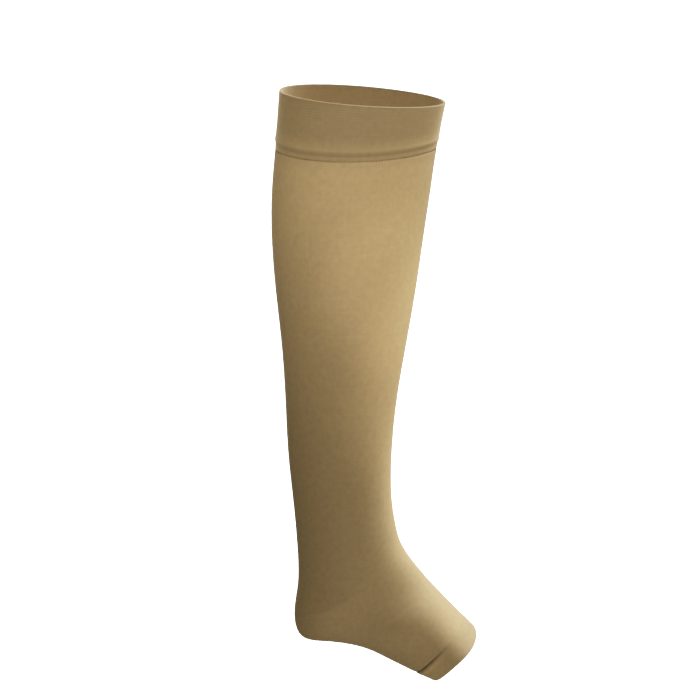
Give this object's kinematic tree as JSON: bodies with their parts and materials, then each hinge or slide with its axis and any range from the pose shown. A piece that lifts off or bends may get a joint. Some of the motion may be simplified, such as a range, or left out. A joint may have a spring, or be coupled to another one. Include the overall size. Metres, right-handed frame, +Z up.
{
  "type": "compression stocking",
  "caption": "Knee-length compression stocking with a firm top band, a fine ribless leg, a knitted heel pocket and an open, hemmed toe, in its worn form.",
  "frame": {"origin": "middle of the top opening, level with the rim's mean height, where the wearer's leg fills the stocking and holds it up", "axes": "+Z up the leg, out of the top opening towards the knee; +X forward, towards the shin and the toes; +Y across the leg; the part is the same on both sides of Y = 0"},
  "size_m": [0.154, 0.1106, 0.4492],
  "materials": {
    "band_knit": "two-ply nylon and elastane knit, matte, deeper tan",
    "leg_knit": "fine nylon and elastane knit, warm sand, soft sheen",
    "hem_knit": "two-ply hem of the fine knit, matte, sand"
  },
  "bodies": {
    "root": {"top_band": "band_knit", "leg": "leg_knit", "heel_pocket": "leg_knit", "foot": "leg_knit", "toe_hem": "hem_knit"}
  },
  "joints": []
}
